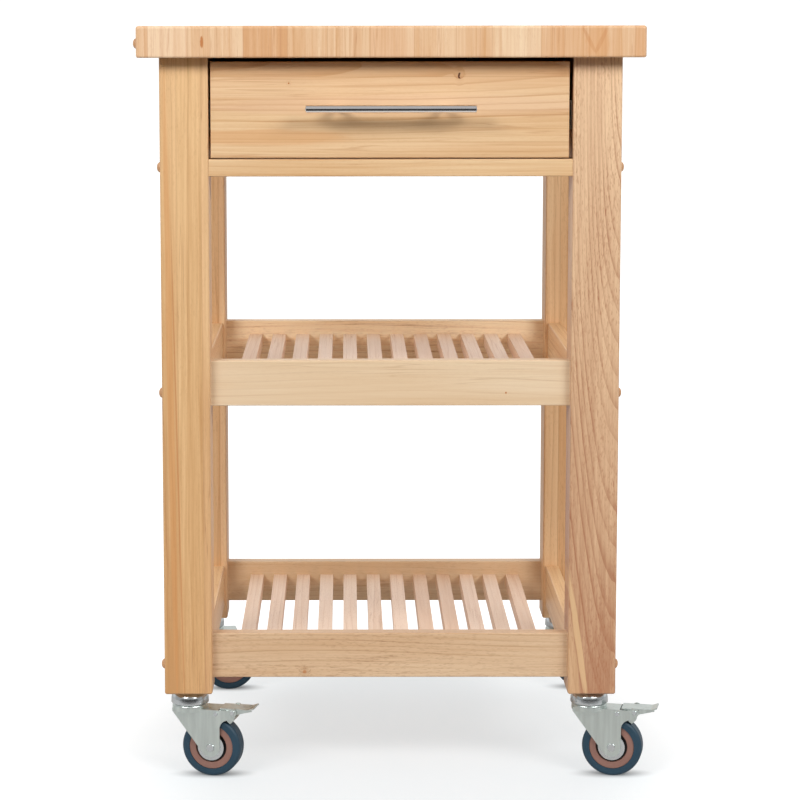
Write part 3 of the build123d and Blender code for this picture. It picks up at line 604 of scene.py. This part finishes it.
def make_floor():
    """A sweep that the camera sees glowing white, with painted shadow in grey about the cart and darker
    painted shadow under each wheel. It throws no light back in front.
    """
    side, near, far = 8, -8, 14
    painted_shadow_glow = (0.575, 0.605, 0.62, 1)
    mesh = bpy.data.meshes.new("floor")
    mesh.from_pydata([(-side, near, 0), (side, near, 0), (side, far, 0), (-side, far, 0)], [], [(0, 1, 2, 3)])
    floor = bpy.data.objects.new("floor", mesh)
    bpy.context.collection.objects.link(floor)
    material, tree, shader = new_material("studio_floor")
    where = put(tree, "TexCoord").outputs["Object"]
    in_front = ramp(tree, calc(tree, "MULTIPLY", separate(tree, where)[1], -1.0), 0.75, 0.95)
    from_cart = vector_calc(tree, "MULTIPLY", vector_calc(tree, "ADD", where, (0, 0.15, 0)), (1.6, 1, 1))
    away = ramp(tree, vector_calc(tree, "LENGTH", from_cart), 0.35, 0.9)
    camera_sees = put(tree, "LightPath").outputs["Is Camera Ray"]
    bounced = blend_colours(tree, in_front, grey(0.65), grey(0.05))
    # Painted shadow: the floor's glow is grey about the cart and white further off.
    glow = blend_colours(tree, away, painted_shadow_glow, white)
    # Painted contact shadow: the glow darkens towards black close under each wheel.
    for corner in corners:
        x, y = joints[f"{corner}_spin"]["pos_m"][:2]
        from_wheel = vector_calc(tree, "SUBTRACT", where, (x, y, 0))
        from_wheel = vector_calc(tree, "MULTIPLY", from_wheel, (1, 2.5, 1))
        wheel_painted_shadow = fade(tree, vector_calc(tree, "LENGTH", from_wheel), 10 * mm, 60 * mm)
        glow = blend_colours(tree, calc(tree, "MULTIPLY", wheel_painted_shadow, 0.75), glow, black)
    feed(tree, shader, {
        "Base Color": blend_colours(tree, camera_sees, bounced, grey(0.33)),
        "Roughness": 0.9,
        "Specular IOR Level": 0.1,
        "Emission Color": blend_colours(tree, camera_sees, black, glow),
        "Emission Strength": 1.0,
    })
    floor.data.materials.append(material)


def soft_light(name, azimuth):
    """A wide soft box that faces the cart from so many degrees to the side of its front."""
    distance, aim_height, width, height, power = 2.9, 0.83, 1.4, 0.75, 44
    side, rise = math.radians(azimuth), math.radians(24)
    away = Vector((math.sin(side) * math.cos(rise), -math.cos(side) * math.cos(rise), math.sin(rise)))
    data = bpy.data.lights.new(name, "AREA")
    data.shape = "RECTANGLE"
    data.size = width
    data.size_y = height
    data.energy = power
    light = bpy.data.objects.new(name, data)
    light.location = Vector((0, 0, aim_height)) + away * distance
    light.rotation_euler = (-away).to_track_quat("-Z", "Y").to_euler()
    bpy.context.collection.objects.link(light)


def make_world():
    """The camera sees white. The light comes from a dimmer room, brighter behind and dark low in front."""
    world = bpy.data.worlds.new("studio")
    world.use_nodes = True
    tree = world.node_tree
    seen = tree.nodes["Background"]
    feed(tree, seen, {0: white, 1: 1.1})
    direction = separate(tree, put(tree, "TexCoord").outputs["Generated"])
    behind = ramp(tree, direction[1], 0.0, 0.5)
    in_front = ramp(tree, calc(tree, "MULTIPLY", direction[1], -1.0), 0.45, 0.75)
    low = fade(tree, direction[2], 0.16, 0.26)
    room = blend_colours(tree, behind, grey(0.46), grey(0.85))
    room = blend_colours(tree, calc(tree, "MULTIPLY", low, in_front), room, grey(0.02))
    lit = put(tree, "Background", {0: room, 1: 1.0})
    camera_sees = put(tree, "LightPath").outputs["Is Camera Ray"]
    mixed = put(tree, "MixShader", {0: camera_sees, 1: lit.outputs[0], 2: seen.outputs[0]})
    tree.links.new(mixed.outputs[0], tree.nodes["World Output"].inputs[0])
    bpy.context.scene.world = world


dress_worktop()
dress_drawer()
dress_legs()
dress_rails()
dress_small_wood()
dress_metal()
add_brake_pads()
make_camera()
make_floor()
make_world()
soft_light("left_softbox", -38)
soft_light("right_softbox", 38)
bpy.context.scene.view_settings.view_transform = "Standard"
